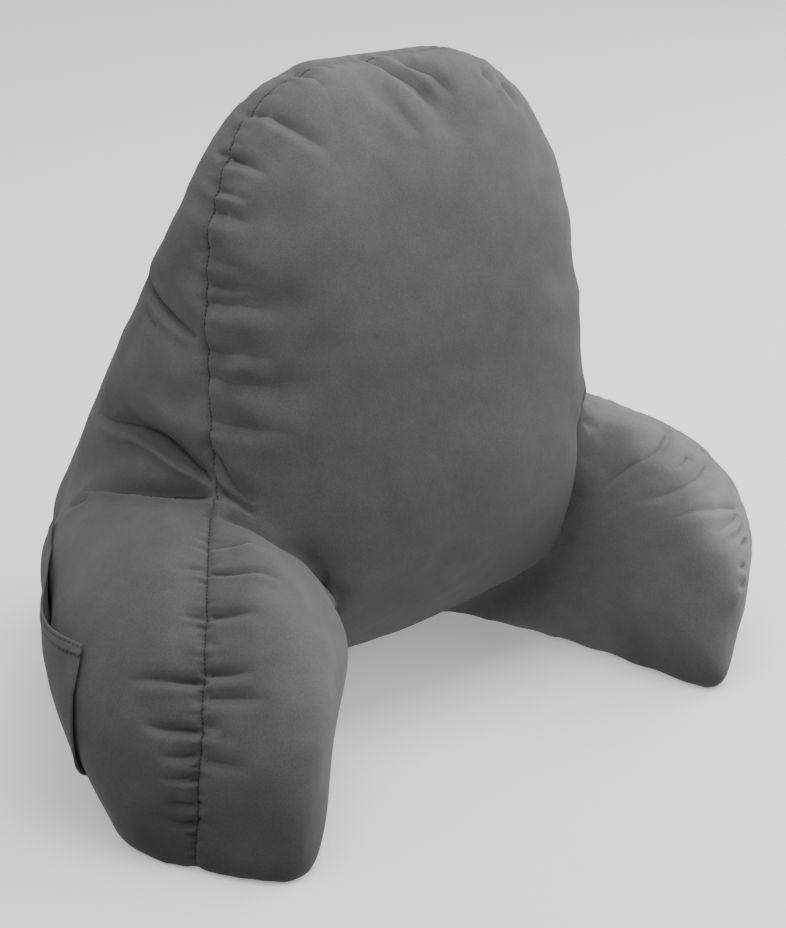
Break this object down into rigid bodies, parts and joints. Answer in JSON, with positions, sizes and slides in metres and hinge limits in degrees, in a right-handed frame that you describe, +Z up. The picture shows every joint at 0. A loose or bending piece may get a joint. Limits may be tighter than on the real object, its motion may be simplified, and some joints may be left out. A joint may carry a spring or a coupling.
{
  "type": "backrest pillow",
  "caption": "Stuffed suede backrest pillow with a tall rounded back, splayed side arms and a flat side pocket, for sitting up in bed or on a floor.",
  "frame": {"origin": "middle of the bounding box's bottom, on the surface that the pillow rests on", "axes": "+Z up, the face and the arms point towards -Y, +X is the sitter's left, the pocket is on the -X side"},
  "size_m": [0.6566, 0.4346, 0.4911],
  "materials": {
    "charcoal_suede": "matt short-napped suede",
    "pocket_suede": "matt short-napped suede"
  },
  "bodies": {
    "root": {"pillow_body": "charcoal_suede", "side_pocket": "pocket_suede"}
  },
  "joints": []
}
